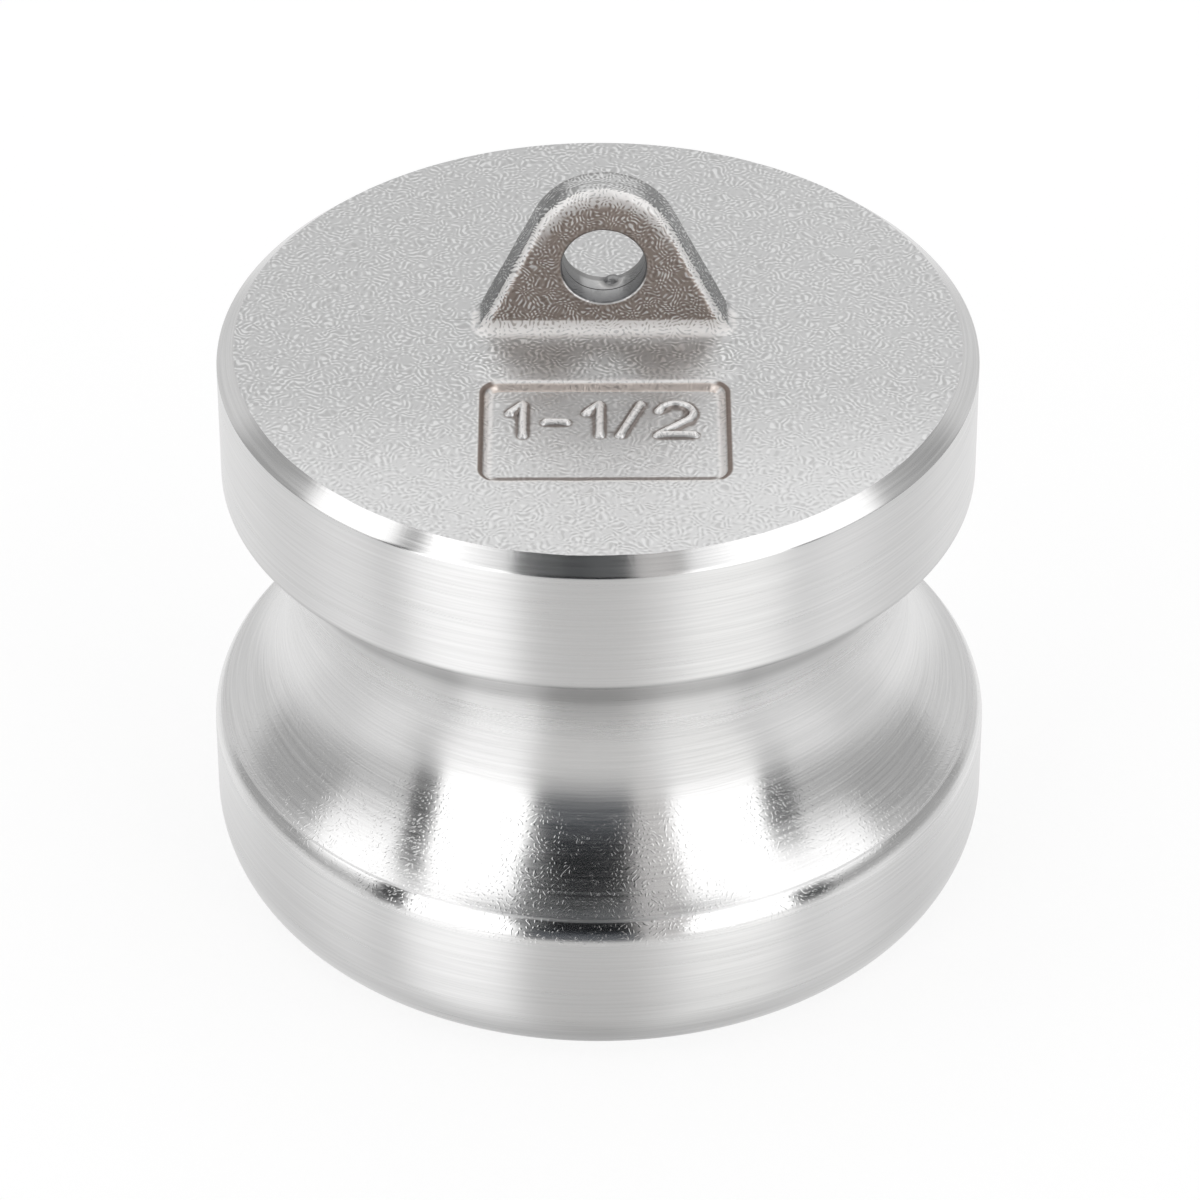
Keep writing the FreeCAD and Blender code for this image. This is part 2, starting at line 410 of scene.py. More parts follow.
def bodyOutline():
    t = turning
    tip, corner = t["tipRadius"], t["tipCorner"]
    leadInRadius = (t["leadInHeight"] ** 2 + t["leadInDepth"] ** 2) / (2 * t["leadInDepth"])
    leadInAngle = math.degrees(math.asin(t["leadInHeight"] / leadInRadius))
    floorHeight = grooveHeight()
    cornerReach = corner - t["tipCornerInset"]
    cornerRise = math.sqrt(corner ** 2 - cornerReach ** 2)
    cornerAngle = math.degrees(math.atan2(cornerRise, cornerReach))
    cornerCentre = (tip - corner, t["tipHeight"] - cornerRise)
    grooveCentre = (t["grooveFloor"] + t["grooveTool"], floorHeight)
    edgeCentreRadius = t["flangeRadius"] - t["flangeEdge"]
    reach = grooveCentre[0] - edgeCentreRadius
    edgeCentreHeight = floorHeight + math.sqrt((t["grooveTool"] + t["flangeEdge"]) ** 2 - reach ** 2)
    meetAngle = math.degrees(math.atan2(floorHeight - edgeCentreHeight, reach))
    grooveStart = math.degrees(math.atan2(t["tipHeight"] - floorHeight, tip - t["tipCornerInset"] - grooveCentre[0]))
    coreTop = t["topFace"] - t["topThickness"]
    lean = math.tan(t["coreDraft"])
    coreRadius = t["grooveFloor"] - t["wallAtGroove"]
    mouthRadius = coreRadius + floorHeight * lean
    coreTopRadius = coreRadius - (coreTop - floorHeight) * lean
    roofEdge = coreTopRadius - t["coreCorner"] * math.tan((math.pi / 2 - t["coreDraft"]) / 2)
    slope = t["chamferWidth"] / t["chamferHeight"]
    blankRadius = t["flangeRadius"] - slope * (t["blankHeight"] - t["topFace"] + t["chamferHeight"])

    points = [(0.0, t["blankHeight"]), (blankRadius, t["blankHeight"])]
    points.append((t["flangeRadius"], t["topFace"] - t["chamferHeight"]))
    corners = {2: t["edgeBreak"]}
    points += arcPoints((edgeCentreRadius, edgeCentreHeight), t["flangeEdge"], 0.0, meetAngle, 10)
    points += arcPoints(grooveCentre, t["grooveTool"], meetAngle + 180.0, grooveStart + 360.0, 44)[1:]
    corners[len(points) - 1] = t["crispEdge"]
    points += arcPoints(cornerCentre, corner, cornerAngle, 0.0, 10)[1:]
    points += arcPoints((tip - leadInRadius, t["leadInHeight"]), leadInRadius, 0.0, -leadInAngle, 12)
    corners[len(points) - 1] = t["edgeBreak"]
    points.append((mouthRadius + t["mouthChamfer"], 0.0))
    corners[len(points) - 1] = t["edgeBreak"]
    points.append((mouthRadius - t["mouthChamfer"] * lean, t["mouthChamfer"]))
    corners[len(points) - 1] = t["edgeBreak"]
    cornerCentre = (roofEdge, coreTop - t["coreCorner"])
    points += arcPoints(cornerCentre, t["coreCorner"], math.degrees(t["coreDraft"]), 90.0, 10)
    points.append((0.0, coreTop))
    return softCorners(points, corners, t["support"])


def spinTree():
    tree, given, result = newGroup("spinOutline", "GeometryNodeTree", {
        "Outline": "Geometry",
        "Segments": 64,
        "Weld": 0.000001,
        "Finish": "Material",
    }, {"Body": "Geometry"})
    outline = given.outputs["Outline"]
    rows = addNode(tree, "GeometryNodeAttributeDomainSize", {"Geometry": outline}).outputs["Point Count"]
    columns = calc(tree, "ADD", given.outputs["Segments"], 1.0)
    grid = addNode(tree, "GeometryNodeMeshGrid", {"Vertices X": rows, "Vertices Y": columns})
    number = addNode(tree, "GeometryNodeInputIndex").outputs[0]
    row = calc(tree, "FLOOR", calc(tree, "DIVIDE", calc(tree, "ADD", number, 0.5), columns))
    column = minus(tree, number, product(tree, row, columns))
    wanted = {"Geometry": outline, "Index": row, "Value": addNode(tree, "GeometryNodeInputPosition").outputs[0]}
    point = split(tree, addNode(tree, "GeometryNodeSampleIndex", wanted, data_type="FLOAT_VECTOR").outputs[0])
    angle = calc(tree, "DIVIDE", product(tree, column, 2 * math.pi), given.outputs["Segments"])
    place = joined(
        tree,
        X=product(tree, point["X"], calc(tree, "COSINE", angle)),
        Y=product(tree, point["X"], calc(tree, "SINE", angle)),
        Z=point["Z"],
    )
    spun = addNode(tree, "GeometryNodeSetPosition", {"Geometry": grid.outputs["Mesh"], "Position": place}).outputs[0]
    welded = addNode(tree, "GeometryNodeMergeByDistance", {"Geometry": spun, "Distance": given.outputs["Weld"]})
    smooth = addNode(tree, "GeometryNodeSetShadeSmooth", {"Geometry": welded.outputs[0]})
    return endTree(tree, smooth, given, result)


def endTree(tree, last, given, result):
    whole = addNode(tree, "GeometryNodeRealizeInstances", {"Geometry": last.outputs[0]})
    done = addNode(tree, "GeometryNodeSetMaterial", {"Geometry": whole.outputs[0], "Material": given.outputs["Finish"]})
    tree.links.new(done.outputs[0], result.inputs[0])
    return tree


def runTree(obj, tree, inputs):  # the tree's result becomes the object's plain mesh
    modifier = obj.modifiers.new(tree.name, "NODES")
    modifier.node_group = tree
    for name, value in inputs.items():
        modifier[tree.interface.items_tree[name].identifier] = value
    return settle(obj)


def settle(obj):  # modifiers are worked into the mesh and taken off
    graph = bpy.context.evaluated_depsgraph_get()
    graph.update()
    finished = bpy.data.meshes.new_from_object(obj.evaluated_get(graph))
    obj.modifiers.clear()
    old = obj.data
    obj.data = finished
    bpy.data.meshes.remove(old)
    return obj


def newObject(name, mesh):
    obj = bpy.data.objects.new(name, mesh)
    bpy.context.scene.collection.objects.link(obj)
    return obj


def makeTurnedBody(finish):
    points = bodyOutline()
    mesh = bpy.data.meshes.new("bodyOutline")
    chain = [(place, place + 1) for place in range(len(points) - 1)]
    mesh.from_pydata([(r * mm, 0.0, z * mm) for r, z in points], chain, [])
    body = newObject("turnedBody", mesh)
    runTree(body, spinTree(), {"Segments": turning["segments"], "Weld": 0.001 * mm, "Finish": finish})
    bm = bmesh.new()
    bm.from_mesh(body.data)
    bmesh.ops.recalc_face_normals(bm, faces=bm.faces)
    bm.to_mesh(body.data)
    bm.free()
    print("body spun from", len(points), "outline points,", len(body.data.polygons), "faces")
    return body


# Cast top: the lug, its foot and the label recess, as they leave the mould

casting = {
    "voxel": 0.105 * mm,
    "ringInside": 21.5 * mm,  # a ring widens the casting's face, so that the turned form can cut it back
    "ringOutside": 27.6 * mm,
    "slabDepth": 1.4 * mm,
    "softenSteps": 2,
    "softenShare": 0.4,
    "keptShare": 0.7,  # of the slab, counted down from the face
    "drawnTo": -2.0 * mm,  # the skin's border is drawn down past the plug's foot
    "skin": {
        "Uneven depth": 0.03 * mm,  # slow waves of the cast face
        "Uneven scale": 420.0,
        "Rugged depth": 0.035 * mm,  # shorter lumps, strongest on the lug
        "Rugged scale": 1500.0,
        "Face height": turning["topFace"] * mm,
        "Highest": cadBox[1].z - 0.01 * mm,
        "Edge steps": 10,  # how far the worn edges with their painted highlight and the painted shade in the corners reach
        "Edge full": 0.035 * mm,
    },
    "triangles": 96000,
    "nubSize": 0.74 * mm,
    "nubPlace": (0.6 * mm, 0.98 * mm, -0.28 * mm),  # from the foot of the bore at its middle
}


def castTree():
    inputs = {"Casting": "Geometry"} | casting["skin"] | {"Finish": "Material"}
    tree, given, result = newGroup("castSkin", "GeometryNodeTree", inputs, {"Casting": "Geometry"})
    get = given.outputs
    position = addNode(tree, "GeometryNodeInputPosition").outputs[0]
    normal = addNode(tree, "GeometryNodeInputNormal").outputs[0]
    height = split(tree, position)["Z"]

    def wave(scale, depth, shift):
        moved = addNode(tree, "ShaderNodeVectorMath", {0: position}, {1: (shift,) * 3}, operation="ADD")
        noise = addNode(tree, "ShaderNodeTexNoise", {"Vector": moved.outputs[0], "Scale": scale}, {"Detail": 1.5})
        return product(tree, minus(tree, noise.outputs["Fac"], 0.5), 2.0, depth)

    slow = wave(get["Uneven scale"], get["Uneven depth"], 0.37)
    onLug = ramp(tree, minus(tree, height, get["Face height"]), 0.0, 0.8 * mm, 0.25, 1.0)
    lumps = product(tree, wave(get["Rugged scale"], get["Rugged depth"], 0.71), onLug)
    offset = times(tree, normal, calc(tree, "ADD", slow, lumps))
    blurred = addNode(tree, "GeometryNodeBlurAttribute", {"Iterations": get["Edge steps"]}, data_type="FLOAT_VECTOR")
    valueIn = next(socket for socket in blurred.inputs if socket.enabled and socket.type == "VECTOR")
    valueOut = next(socket for socket in blurred.outputs if socket.enabled)
    tree.links.new(position, valueIn)
    bulge = addNode(tree, "ShaderNodeVectorMath", {0: position, 1: valueOut}, operation="SUBTRACT")
    outward = addNode(tree, "ShaderNodeVectorMath", {0: bulge.outputs[0], 1: normal}, operation="DOT_PRODUCT")
    edge = calc(tree, "DIVIDE", outward.outputs["Value"], get["Edge full"])
    skin = {"Geometry": get["Casting"], "Value": edge}
    marked = addNode(tree, "GeometryNodeStoreNamedAttribute", skin, {"Name": "edge"})
    rough = addNode(tree, "GeometryNodeSetPosition", {"Geometry": marked.outputs[0], "Offset": offset})
    axes = split(tree, addNode(tree, "GeometryNodeInputPosition").outputs[0])
    capped = joined(tree, X=axes["X"], Y=axes["Y"], Z=calc(tree, "MINIMUM", axes["Z"], get["Highest"]))
    kept = addNode(tree, "GeometryNodeSetPosition", {"Geometry": rough.outputs[0], "Position": capped})
    return endTree(tree, kept, given, result)


numerals = {
    "left": -5.9 * mm,
    "low": -10.45 * mm,
    "height": 3.5 * mm,
    "stroke": 0.27 * mm,  # half the width of a stroke
    "rise": 0.36 * mm,  # above the recess floor
    "start": {"one": (0.0, 5.05), "dash": (2.45,), "slash": (7.35,), "two": (9.75,)},  # mm from the left
}


def numeralStrokes():  # each stroke is a row of points, as parts of the height and in mm across
    one = [(0.1, 0.72), (0.95, 1.0), (0.95, 0.0)]
    turn = [math.radians(160 - 200 * step / 9) for step in range(10)]
    two = [(1.25 + 1.15 * math.cos(a), 0.69 + 0.31 * math.sin(a)) for a in turn] + [(0.1, 0.0), (2.45, 0.0)]
    shapes = {"one": one, "dash": [(0.0, 0.42), (1.35, 0.42)], "slash": [(0.0, 0.0), (1.35, 1.0)], "two": two}
    strokes = []
    for name, starts in numerals["start"].items():
        for start in starts:
            left = numerals["left"] + start * mm
            strokes.append([(left + x * mm, numerals["low"] + y * numerals["height"]) for x, y in shapes[name]])
    return strokes


def addStroke(bm, points, radius, middle, rise):  # a bar with round ends and rounded top
    for place, point in enumerate(points):
        ball = Matrix.Translation((point[0], point[1], middle)) @ Matrix.Diagonal((1.0, 1.0, rise / radius, 1.0))
        bmesh.ops.create_uvsphere(bm, u_segments=16, v_segments=10, radius=radius, matrix=ball)
        if place == 0:
            continue
        start, end = Vector(points[place - 1] + (middle,)), Vector(point + (middle,))
        along = (end - start).normalized()
        across = Vector((-along.y, along.x, 0.0)) * radius
        upward = Vector((0.0, 0.0, rise))
        rings = []
        for foot in (start, end):
            turns = [2 * math.pi * step / 16 for step in range(16)]
            rings.append([bm.verts.new(foot + across * math.cos(a) + upward * math.sin(a)) for a in turns])
        for step in range(16):
            after = (step + 1) % 16
            bm.faces.new((rings[0][step], rings[0][after], rings[1][after], rings[1][step]))
        bm.faces.new(rings[0][::-1])
        bm.faces.new(rings[1])


def addRing(bm, inside, outside, low, high, segments=160):
    section = [(inside, low), (outside, low), (outside, high), (inside, high)]
    rows = []
    for place in range(segments):
        angle = 2 * math.pi * place / segments
        rows.append([bm.verts.new((r * math.cos(angle), r * math.sin(angle), z)) for r, z in section])
    for place in range(segments):
        here, following = rows[place], rows[(place + 1) % segments]
        for side in range(4):
            bm.faces.new((here[side], following[side], following[(side + 1) % 4], here[(side + 1) % 4]))


def nubCentre():
    hole = mounts["chain_hole"]
    return Vector(hole["pos_m"]) - Vector((0.0, 0.0, hole["dims"]["r_mm"] * mm)) + Vector(casting["nubPlace"])


def makeCastTop(cadNode, finish):
    face = turning["topFace"] * mm
    bm = bmesh.new()
    bm.from_mesh(cadNode.data)
    bmesh.ops.remove_doubles(bm, verts=bm.verts, dist=0.001 * mm)
    everything = bm.verts[:] + bm.edges[:] + bm.faces[:]
    cut = bmesh.ops.bisect_plane(
        bm, geom=everything, plane_co=(0, 0, face - casting["slabDepth"]), plane_no=(0, 0, 1), clear_inner=True
    )
    loose = [item for item in cut["geom_cut"] if isinstance(item, bmesh.types.BMEdge)]
    bmesh.ops.holes_fill(bm, edges=loose)
    addRing(bm, casting["ringInside"], casting["ringOutside"], face - casting["slabDepth"], face)
    bmesh.ops.create_icosphere(bm, subdivisions=2, radius=casting["nubSize"], matrix=Matrix.Translation(nubCentre()))
    recessFloor = face - turning["recessDepth"] * mm
    for points in numeralStrokes():
        addStroke(bm, points, numerals["stroke"], recessFloor, numerals["rise"])
    mesh = bpy.data.meshes.new("castTop")
    bm.to_mesh(mesh)
    bm.free()
    top = newObject("castTop", mesh)
    remesh = top.modifiers.new("oneSkin", "REMESH")
    remesh.mode = "VOXEL"
    remesh.voxel_size = casting["voxel"]
    remesh.use_smooth_shade = True
    soften = top.modifiers.new("soften", "SMOOTH")
    soften.iterations = casting["softenSteps"]
    soften.factor = casting["softenShare"]
    settle(top)
    cutAway(top, face - casting["slabDepth"] * casting["keptShare"])
    runTree(top, castTree(), casting["skin"] | {"Finish": finish})
    fewer = top.modifiers.new("fewer", "DECIMATE")
    count = sum(len(face.vertices) - 2 for face in top.data.polygons)
    fewer.ratio = min(1.0, casting["triangles"] / count)
    fewer.use_collapse_triangulate = True
    settle(top)
    closeBelow(top)
    print("cast top made,", count, "triangles before thinning,", len(top.data.polygons), "after")
    return top


def cutAway(top, height):  # only the upper skin is kept, with the lug and the recess
    bm = bmesh.new()
    bm.from_mesh(top.data)
    low = [vert for vert in bm.verts if vert.co.z < height]
    bmesh.ops.delete(bm, geom=low, context="VERTS")
    bm.to_mesh(top.data)
    bm.free()


def closeBelow(top):  # the skin's border is drawn straight down and closed, so that the two forms can be cut together
    bm = bmesh.new()
    bm.from_mesh(top.data)
    border = [edge for edge in bm.edges if edge.is_boundary]
    drawn = bmesh.ops.extrude_edge_only(bm, edges=border)["geom"]
    lower = [item for item in drawn if isinstance(item, bmesh.types.BMVert)]
    for vert in lower:
        vert.co.z = casting["drawnTo"]
    rim = [item for item in drawn if isinstance(item, bmesh.types.BMEdge) and item.is_boundary]
    bmesh.ops.holes_fill(bm, edges=rim)
    bmesh.ops.recalc_face_normals(bm, faces=bm.faces)
    bm.to_mesh(top.data)
    bm.free()


def joinForms(body, top):  # the lathe's form and the casting's form keep only what both hold
    both = body.modifiers.new("turnedFromCasting", "BOOLEAN")
    both.operation = "INTERSECT"
    both.solver = "MANIFOLD"
    both.material_mode = "TRANSFER"
    both.object = top
    settle(body)
    bpy.data.objects.remove(top)
    bm = bmesh.new()
    bm.from_mesh(body.data)
    for edge in bm.edges:
        kinds = {face.material_index for face in edge.link_faces}
        edge.smooth = len(kinds) < 2
    for face in bm.faces:
        face.smooth = True
    openEdges = sum(not edge.is_manifold for edge in bm.edges)
    triangles = sum(len(face.verts) - 2 for face in bm.faces)
    bm.to_mesh(body.data)
    bm.free()
    print("forms joined:", triangles, "triangles,", openEdges, "open edges,", len(body.data.materials), "materials")
    return body


# Metal finishes

def wormGroup():  # short curling ridges of a shot-blasted casting: ripples that point every way, bent by a slow noise
    tree, given, result = newGroup("wormGrain", "ShaderNodeTree", {
        "Patch": 0.8,
        "Ripples": 3.1,
        "Bend": 0.7,
        "Bare": 0.53,
        "Soft": 0.13,
    }, {"Height": "Float", "Stroke": "Float", "Flank": "Float"})
    get = given.outputs
    place = millimetres(tree)
    slow = addNode(tree, "ShaderNodeTexNoise", {"Vector": place}, {"Scale": 1.1, "Detail": 0.0})
    bend = times(tree, slow.outputs["Color"], get["Bend"])
    bent = addNode(tree, "ShaderNodeVectorMath", {0: place, 1: bend}, operation="ADD")
    axes = split(tree, bent.outputs[0])
    ripple = addNode(tree, "ShaderNodeTexGabor", {
        "Vector": joined(tree, X=axes["X"], Y=calc(tree, "ADD", axes["Y"], axes["Z"])),
        "Scale": get["Patch"],
        "Frequency": get["Ripples"],
    }, {"Anisotropy": 0.0})
    value = ripple.outputs["Value"]
    crest, dip = get["Bare"], rest(tree, get["Bare"])
    tree.links.new(ramp(tree, value, crest, calc(tree, "ADD", crest, get["Soft"])), result.inputs["Stroke"])
    tree.links.new(ramp(tree, value, dip, minus(tree, dip, get["Soft"])), result.inputs["Flank"])
    tree.links.new(value, result.inputs["Height"])
    return tree


def linesGroup():  # fine lines that the turning tool leaves, running round the axis
    tree, given, result = newGroup("toolLines", "ShaderNodeTree", {
        "Across": 6.0,
        "Around": 3.0,
        "Detail": 3.0,
    }, {"Height": "Float"})
    get = given.outputs
    axes = split(tree, millimetres(tree))
    radius = distance(tree, axes["X"], axes["Y"])
    away = largest(tree, radius, 0.01)  # never nought, because it divides
    vector = joined(
        tree,
        X=product(tree, radius, get["Across"]),
        Y=product(tree, calc(tree, "DIVIDE", axes["X"], away), get["Around"]),
        Z=product(tree, calc(tree, "DIVIDE", axes["Y"], away), get["Around"]),
    )
    noise = addNode(tree, "ShaderNodeTexNoise", {
        "Vector": vector,
        "W": product(tree, axes["Z"], get["Across"]),
        "Detail": get["Detail"],
    }, {"Scale": 1.0}, noise_dimensions="4D")
    tree.links.new(noise.outputs["Fac"], result.inputs["Height"])
    return tree


turnedFinish = {
    "colour": (0.8, 0.797, 0.795),
    "roughCylinders": 0.3,
    "roughGroove": 0.22,
    "roughEdges": 0.17,
    "roughCrisp": 0.38,  # the crisp edge between groove and tip
    "roughLines": 0.15,
    "anisotropy": 0.9,
    "lines": {"Across": 6.5, "Around": 3.0, "Detail": 3.0},
    "lineDepth": 0.0013 * mm,
    "lineShades": (0.9, 1.1),
    "lineContrast": 2.0,
    "peel": {"Patch": 1.1, "Ripples": 2.4, "Bare": 0.56},
    "peelDepth": 0.004 * mm,
    "peelTop": 18.5,  # the shot-blasted peel shows between these heights
    "peelFoot": 9.3,
    "roofShade": 0.7,  # the groove is darker under the flange
    "footShade": 0.86,  # and the tip towards its foot
    "grooveShade": 0.94,
    # where these begin and end, in mm over the tip's edge, the groove's floor or the top face
    "grooveStart": (-0.1, 0.1),
    "grooveEnd": (6.0, -2.0),
    "corner": (-1.75, -1.3),
    "crisp": (-0.12, -0.06, 0.05, 0.0),
    "chamfer": (-1.05, -0.95),
    "roof": (5.0, 6.8, 9.8, 9.3),
    "floorReach": (4.0, 1.5),
    "peelSoft": (3.0, 0.5),
}


def newMaterial(name):
    material = bpy.data.materials.new(name)
    material.use_nodes = True
    tree = material.node_tree
    tree.nodes.clear()
    steel = addNode(tree, "ShaderNodeBsdfPrincipled", values={"Metallic": 1.0})
    tree.links.new(steel.outputs[0], addNode(tree, "ShaderNodeOutputMaterial").inputs["Surface"])
    return material, tree, steel


def bumps(tree, heights):  # one bump on top of the other, each with its own depth in metres
    normal = None
    for height, depth in heights:
        node = addNode(tree, "ShaderNodeBump", {"Height": height}, {"Distance": depth})
        if normal:
            tree.links.new(normal, node.inputs["Normal"])
        normal = node.outputs[0]
    return normal


def makeTurnedFinish(lineTree, wormTree):
    t = turnedFinish
    material, tree, steel = newMaterial("turnedSteel")
    height = split(tree, millimetres(tree))["Z"]
    overEdge = minus(tree, height, turning["tipHeight"])
    overFloor = minus(tree, height, grooveHeight())
    overFace = minus(tree, height, turning["topFace"])

    # roughness: the groove and the edges came off the tool smoother than the cylinders
    pastEdge = ramp(tree, overEdge, *t["grooveStart"])
    groove = product(tree, pastEdge, ramp(tree, overFloor, *t["grooveEnd"]))
    corner = product(tree, ramp(tree, overEdge, *t["corner"]), rest(tree, pastEdge))
    edges = largest(tree, corner, ramp(tree, overFace, *t["chamfer"]))
    crisp = window(tree, overEdge, *t["crisp"])
    line = minus(tree, useGroup(tree, lineTree, t["lines"]).outputs["Height"], 0.5)
    rough = t["roughCylinders"]
    for mask, change in (
        (groove, t["roughGroove"] - t["roughCylinders"]),
        (edges, t["roughEdges"] - t["roughCylinders"]),
        (crisp, t["roughCrisp"] - t["roughEdges"]),
        (line, t["roughLines"]),
    ):
        rough = calc(tree, "ADD", rough, product(tree, mask, change))
    tree.links.new(rough, steel.inputs["Roughness"])

    # colour: fine lines, and shade where the form turns in
    darker, lighter = (tuple(part * share for part in t["colour"]) for share in t["lineShades"])
    colour = tinted(tree, darker, calc(tree, "ADD", 0.5, product(tree, line, t["lineContrast"])), lighter)
    share = product(
        tree,
        rest(tree, product(tree, window(tree, overFloor, *t["roof"]), 1.0 - t["roofShade"])),
        ramp(tree, height, 0.0, turning["tipHeight"], t["footShade"], 1.0),
        ramp(tree, calc(tree, "ABSOLUTE", overFloor), *t["floorReach"], 1.0, t["grooveShade"]),
    )
    tree.links.new(times(tree, colour, share), steel.inputs["Base Color"])

    # lines and peel in relief, with highlights drawn out along the lines
    steel.inputs["Anisotropic"].default_value = t["anisotropy"]
    steel.inputs["Anisotropic Rotation"].default_value = 0.25
    tangent = addNode(tree, "ShaderNodeTangent", direction_type="RADIAL", axis="Z")
    tree.links.new(tangent.outputs[0], steel.inputs["Tangent"])
    below = ramp(tree, height, t["peelTop"], t["peelTop"] - t["peelSoft"][0])
    above = ramp(tree, height, t["peelFoot"] - t["peelSoft"][1], t["peelFoot"] + t["peelSoft"][1])
    blasted = product(tree, below, above)
    peel = product(tree, useGroup(tree, wormTree, t["peel"]).outputs["Stroke"], blasted)
    lines = product(tree, line, rest(tree, product(tree, blasted, 0.5)))
    tree.links.new(bumps(tree, [(lines, t["lineDepth"]), (peel, t["peelDepth"])]), steel.inputs["Normal"])
    return material


castFinish = {
    "colour": (0.63, 0.63, 0.63),
    "stroke": (0.95, 0.95, 0.95),
    "flank": (0.3, 0.297, 0.293),
    # painted warm reflection on the lug's forward-facing faces, with its strokes and flanks; the dark flank also paints
    # shade on the bore's upper rim
    "paintedWarmReflection": (0.49, 0.41, 0.365),
    "warmStroke": (0.8, 0.76, 0.73),
    "warmFlank": (0.2, 0.165, 0.145),
    # painted shade on the lug's sideward-facing faces
    "side": (0.25, 0.25, 0.25),
    # wear and painted highlight: on the face's edges, the lug's rim, crown and foot, the recess's ridge and the bore's
    # lower rim
    "wearAndPaintedHighlight": (0.95, 0.935, 0.925),
    # painted shade in the recess's inner corners and along its front
    "paintedRecessShade": (0.16, 0.12, 0.1),
    # painted shade on the recess's side walls
    "paintedRecessWallShade": (0.2, 0.15, 0.125),
    # painted reflection of the lug's warm front on the recess's back wall
    "paintedBackWallReflection": (0.8, 0.69, 0.62),
    # painted shade in the bore and round the nub
    "bore": (0.17, 0.17, 0.175),
    "gap": (0.05, 0.048, 0.047),
    "roughness": 0.43,
    "ripples": (3.1, 4.3),  # on the face and on the lug
    "wormDepth": 0.03 * mm,
    "lugDepthShare": 1.4,
    "grainDepth": 0.008 * mm,
    "strokeShare": 0.6,
    "flankShare": (0.25, 0.7),  # on the face and on the lug
    "frontPaintedLight": 1.25,  # painted light: the face is painted brighter towards the front and towards the right
    "rightPaintedLight": 1.06,
    "lugStart": (0.15, 0.6),  # height above the face, as every height here, in mm
    "recessStart": (-0.05, -0.15),
    # the lug's shade on the face, painted with stronger grain, and a strip of painted light along its front: places
    # along Y and X
    "shade": {"y": (-5.2, -3.4, 1.0, 0.0), "sides": (9.5, 8.0), "stroke": 0.4, "flank": 0.2},
    "paintedLightStrip": {"y": (-5.2, -4.4, -2.9, -3.6), "share": 1.15},
    "recess": {"x": 0.45, "y": -10.5, "halfWidth": 8.1, "halfLength": 5.6, "corner": 1.3},
    "frontLine": {"y": (-15.02, -15.16), "ends": (7.9, 7.3)},
    "paintedSideWallShade": (-0.23, -0.08, 0.27, 0.12),  # how far beyond the recess's border
    "wallFoot": (-0.85, -0.6, -0.2, -0.3),
    "backRidge": (-0.18, -0.12, 0.12, 0.04),  # heights
    "crown": {"height": 5.85, "reach": (3.75, 4.3), "over": (6.0, 8.5), "forward": (0.8, 0.95), "share": 0.85},
    "lugFront": {"forward": (0.8, 0.97), "stroke": 0.6, "flank": 0.45},
    "lugSide": {"sideways": (0.35, 0.65), "right": (0.0, 0.5, 1.0, 0.8), "stroke": 0.6},
    "frontPaintedLightReach": (-4.0, -19.0),  # where the painted light grows, along Y and along X
    "rightPaintedLightReach": (0.0, 18.0),
    "fillet": (0.03, 0.11, 1.05, 0.88),
    # where the painted shade along the lug's back edge starts, along Y
    "paintedBackEdgeShade": 3.4,
    "boreRim": (0.04, 0.1, 0.21, 0.14),  # how far outside the bore's wall
    "boreUpper": (-1.6, -0.8),  # heights over the bore's middle, where its rim turns from the painted highlight to the painted shade
    "boreBack": (0.9, 3.4, 0.8, 0.05),
    "partingPlane": 2.42,
    "parting": {"line": (0.07, 0.03), "sides": (11.6, 9.0), "share": 0.35},
}


def castPlaces(tree):  # what the masks are made from: places in mm, and how far the form faces forward or sideways
    c = castFinish
    hole = mounts["chain_hole"]
    place = millimetres(tree)
    axes = split(tree, place)
    facing = addNode(tree, "ShaderNodeTexCoord").outputs["Normal"]
    turn = split(tree, facing)
    at = SimpleNamespace(place=place, x=axes["X"], y=axes["Y"], rightward=turn["X"])
    at.sideways = calc(tree, "ABSOLUTE", turn["X"])
    at.forward = product(tree, turn["Y"], -1.0)
    at.height = minus(tree, axes["Z"], turning["topFace"])
    fromMiddle = minus(tree, axes["X"], hole["pos_m"][0] / mm)
    at.fromMiddle = calc(tree, "ABSOLUTE", fromMiddle)
    at.overBore = minus(tree, axes["Z"], hole["pos_m"][2] / mm)
    at.fromBore = minus(tree, distance(tree, fromMiddle, at.overBore), hole["dims"]["r_mm"])
    at.edge = addNode(tree, "ShaderNodeAttribute", attribute_name="edge").outputs["Fac"]
    at.onLug = ramp(tree, at.height, *c["lugStart"])
    at.inRecess = ramp(tree, at.height, *c["recessStart"])
    at.inBore = ramp(tree, at.fromBore, 0.14, 0.04)
    return at


